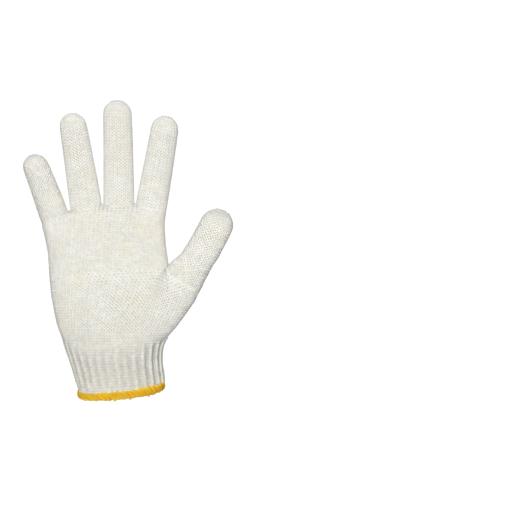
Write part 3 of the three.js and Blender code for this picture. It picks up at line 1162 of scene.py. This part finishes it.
@dataclass
class Stall:
    """A finger's or the thumb's stall, from where it starts to its rounded tip."""

    form: Form
    section: Section
    node: str
    start: float  # where its first course lies, measured up from its solid's open end
    beside: Solid | None = None  # the solid that carries the stall on where its own ends
    tight: float = 0.24  # how much closer together the courses are at the tip
    tight_reach: float = 22 * MM
    least: float = 1.2 * MM  # a cut no lower than this goes all round a finger's own solid
    turning: float = 16 * MM  # over this length the courses turn from the knuckles' slope
    tip: float = 0.45  # the tip's courses have this share of the wales

    def net(self) -> Net:
        """Lays the stall's courses square to its middle line, closer together round the tip."""
        solid, spine = self.form.solids[self.node], self.form.spines[self.node]
        girth = spaced(largest(solid.cut(spine.square(spine.length / 2))))
        radius = np.ptp(girth[:, 0]) / 2
        levels, share = self.levels(spine.length - radius, radius)
        rows = []
        for level in levels:
            if self.beside:
                square = spine.square(level)
                outlines = solid.cut(square) + self.beside.cut(square)
                rows.append(spaced(joined(outlines, spine.at(level), spine.heading(level))))
            else:
                outline = spaced(largest(solid.cut(spine.square(max(level, self.least)))))
                rows.append(self.slid(outline, level))
        full = np.linalg.norm(girth - np.roll(girth, 1, axis=0), axis=1).sum() / self.form.wale
        wales = [round(full) if part > self.tip else max(6, round(full * self.tip)) for part in share]
        return Net(softened(np.array(rows), waves=6), wales, closed=True)

    def levels(self, straight: float, radius: float) -> tuple[np.ndarray, np.ndarray]:
        """Spaces the courses, closer together towards the tip.

        Args:
            straight: where the tip starts to round.
            radius: the tip's radius.

        Returns:
            The courses' places along the stall, and their size as a share of the full girth.
        """
        length = straight - self.start + math.pi / 2 * radius
        path = np.linspace(0, length, 400)
        tight = np.clip((path - length + self.tight_reach) / self.tight_reach, 0, 1)
        pitch = self.form.stall_course * (1 - self.tight * tight)
        passed = np.concatenate([[0], np.cumsum(np.diff(path) / pitch[1:])])
        count = round(passed[-1])
        places = np.interp(np.arange(count) * passed[-1] / (count - 0.4), passed, path)
        turned = np.clip((places - (straight - self.start)) / radius, 0, None)
        return np.minimum(self.start + places, straight) + radius * np.sin(turned), np.cos(turned)

    def slid(self, outline: np.ndarray, level: float) -> np.ndarray:
        """Slides a course's points along the stall, so that the lowest ones follow the knuckles.

        Args:
            outline: the course, or the one nearest to it that the solid has.
            level: where it lies on the stall's middle line.

        Returns:
            The course's points.
        """
        spine = self.form.spines[self.node]
        point, way = spine.at(level), spine.heading(level)
        step = 5 * MM
        ends = self.form.knuckle_line(point[0] + np.array([-step, step]))
        knuckles = np.array([-(ends[1] - ends[0]) / (2 * step), 0, 1])
        share = float(np.clip((level - self.start) / self.turning, 0, 1))
        normal = knuckles / np.linalg.norm(knuckles) * (1 - share) + way * share
        slide = ((point - outline) @ normal) / (way @ normal)
        return outline + slide[:, None] * way

    def build(self, loops: LoopTree, seed: float) -> None:
        """Knits the stall."""
        net = self.net()
        self.section.stitches(f"{self.node}_stitches", net, range(len(net.rows)), loops, seed)
        self.section.backing(f"{self.node}_cloth", net, self.node)


# The photograph's view


@dataclass(frozen=True)
class Lamp:
    """A square soft light that faces the glove."""

    name: str
    place: tuple[float, float, float]
    size: float
    watts: float
    aim: tuple[float, float, float] = (0.0, 0.0, 0.11)

    def build(self) -> None:
        """Hangs the lamp."""
        data = bpy.data.lights.new(self.name, "AREA")
        data.shape, data.size, data.energy = "SQUARE", self.size, self.watts
        lamp = bpy.data.objects.new(self.name, data)
        lamp.location = self.place
        lamp.rotation_euler = (Vector(self.aim) - lamp.location).to_track_quat("-Z", "Y").to_euler()
        bpy.context.scene.collection.objects.link(lamp)


@dataclass(frozen=True)
class Studio:
    """A white studio: a camera square to the palm, soft light from the front, a pale floor."""

    distance: float = 1.1
    view_width: float = 512 * 0.785 * MM
    sensor: float = 36.0
    centre: tuple[float, float] = (106 * MM, 105.6 * MM)  # what the camera looks at, across and up
    floor_drop: float = 0.5
    floor_half: float = 0.9
    backdrop: float = 1.05  # how bright the white round the glove is to the camera
    glow: float = 0.09  # and to the glove
    lamps: tuple[Lamp, ...] = (
        Lamp("key", (0.12, -1.5, 0.6), 0.9, 14.7),
        Lamp("front", (0.05, -1.5, 0.1), 0.7, 15.7),
        Lamp("back", (0.0, 1.2, 0.8), 0.8, 14.0),
    )

    def camera(self) -> None:
        """Places the camera."""
        data = bpy.data.cameras.new("camera")
        data.sensor_width = self.sensor
        data.lens = self.sensor * self.distance / self.view_width
        camera = bpy.data.objects.new("camera", data)
        camera.location = (self.centre[0], -self.distance, self.centre[1])
        camera.rotation_euler = (math.pi / 2, 0, 0)
        bpy.context.scene.collection.objects.link(camera)
        bpy.context.scene.camera = camera

    def world(self) -> None:
        """Makes the world, white to the camera and dim to the glove."""
        world = bpy.data.worlds.new("studio")
        bpy.context.scene.world = world
        world.use_nodes = True
        nodes, links = world.node_tree.nodes, world.node_tree.links
        shed, seen = nodes["Background"], nodes.new("ShaderNodeBackground")
        path, mix = nodes.new("ShaderNodeLightPath"), nodes.new("ShaderNodeMixShader")
        links.new(path.outputs["Is Camera Ray"], mix.inputs[0])
        for number, (node, strength) in enumerate(((shed, self.glow), (seen, self.backdrop)), start=1):
            node.inputs["Color"].default_value = (1, 1, 1, 1)
            node.inputs["Strength"].default_value = strength
            links.new(node.outputs[0], mix.inputs[number])
        links.new(mix.outputs[0], nodes["World Output"].inputs[0])

    def floor(self) -> None:
        """Lays the floor, well below the glove; it fades into the white world at its edge."""
        half = self.floor_half
        corners = [(-half, -half), (half, -half), (half, half), (-half, half)]
        points = np.array([(x, y, -self.floor_drop) for x, y in corners])
        floor = with_points("floor", points, [], [(0, 1, 2, 3)])
        finish = Finish("floor_white")
        away = finish.add("ShaderNodeVectorMath", {"operation": "LENGTH"}, "Value", i0=finish.place())
        shown = away.clipped(half, half * 0.4)
        finish.coat(Base_Color=(1, 1, 1, 1), Roughness=1.0, Alpha=shown)
        floor.data.materials.append(finish.material())

    def build(self) -> None:
        """Sets the world, the lights, the floor and the camera."""
        bpy.context.scene.view_settings.view_transform = "Standard"
        self.world()
        for lamp in self.lamps:
            lamp.build()
        self.floor()
        self.camera()


def main() -> None:
    """Builds the glove, section by section, and the studio."""
    logging.basicConfig(level=logging.INFO, format="%(name)s %(message)s", stream=sys.stdout)
    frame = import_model()
    form = Form({name: Solid.of(node) for name, node in frame["nodes"].items()})
    # knit_back is darker than the yarn: painted shade in the gaps between loops
    cotton, cotton_back = YarnFinish("knit_yarn"), ClothFinish("knit_back")
    # painted shade: a darker copy of the cotton for the thumb and the little finger, whose tight loops
    # leave fewer shaded gaps
    tight = replace(
        cotton,
        title="tight_yarn",
        light=(0.84, 0.832, 0.785, 1),
        shade=(0.76, 0.742, 0.66, 1),
        fold_shade=(0.62, 0.585, 0.485, 1),
    )
    # lighter backs paint less shade behind the firm loops, the palm's darker back more
    tight_back = ClothFinish("tight_back", (0.82, 0.79, 0.68, 1), (0.72, 0.68, 0.56, 1))
    palm_back = ClothFinish("palm_back", (0.46, 0.42, 0.31, 1), (0.34, 0.31, 0.22, 1))
    # painted light: a lighter copy of the cotton for the other fingers, against the shade of their
    # looser loops
    pale = YarnFinish("stall_yarn", (0.95, 0.942, 0.895, 1), (0.86, 0.842, 0.76, 1))
    # its groove setting paints the shade between the ribs
    elastic = YarnFinish("rib_yarn", (0.9, 0.888, 0.83, 1), groove=0.55, mottle=0.24)
    elastic_back = replace(tight_back, title="rib_back")
    # the thread is painted darker where it winds behind: painted shade
    thread = YarnFinish(
        "overlock_thread",
        light=(1.0, 0.84, 0.06, 1),
        shade=(1.0, 0.64, 0.02, 1),
        fold_shade=(0.7, 0.32, 0.0, 1),
        warm=(1.0, 0.71, 0.03, 1),
        ply_length=2.0 * MM,
        sheen=0.0,
        dull=1.0,
        mottle=0.14,
    )
    # painted shade: a darker copy of the thread for the core, seen in the crevices between the
    # windings
    core = replace(thread, title="overlock_core", light=(0.8, 0.4, 0.0, 1), shade=(0.55, 0.22, 0.0, 1))
    yarns, backs = (cotton, pale, tight, elastic, thread, core), (cotton_back, tight_back, palm_back)
    for finish in (*yarns, *backs, elastic_back):
        finish.made()
    loops, overlock, reliefs = LoopTree(), OverlockTree(), Reliefs()
    firm = Section(tight, tight_back, radius=0.8 * MM, depth=0.3 * MM, reach=0.72)
    ribbed = replace(firm, yarn=elastic, cloth=elastic_back, slot=Slot.RIB, reach=0.6, reliefs=reliefs)
    wrist = Cuff(form, ribbed, thread, core)
    palm = Palm(form, Section(cotton, palm_back, radius=0.75 * MM, depth=0.33 * MM, reliefs=reliefs))
    low, high = blended(wrist.net(), palm.lower_net())
    wrist.build(low, loops, overlock)
    palm.build(high, loops)
    for seed, name in enumerate(form.fingers, start=10):
        section = firm if name == "little_finger" else Section(pale, cotton_back)
        Stall(form, section, name, form.stalls).build(loops, float(seed))
    Stall(form, firm, "thumb", form.crotch_level(), form.solids["palm"]).build(loops, 20.0)
    Studio().build()


if __name__ == "__main__":
    main()
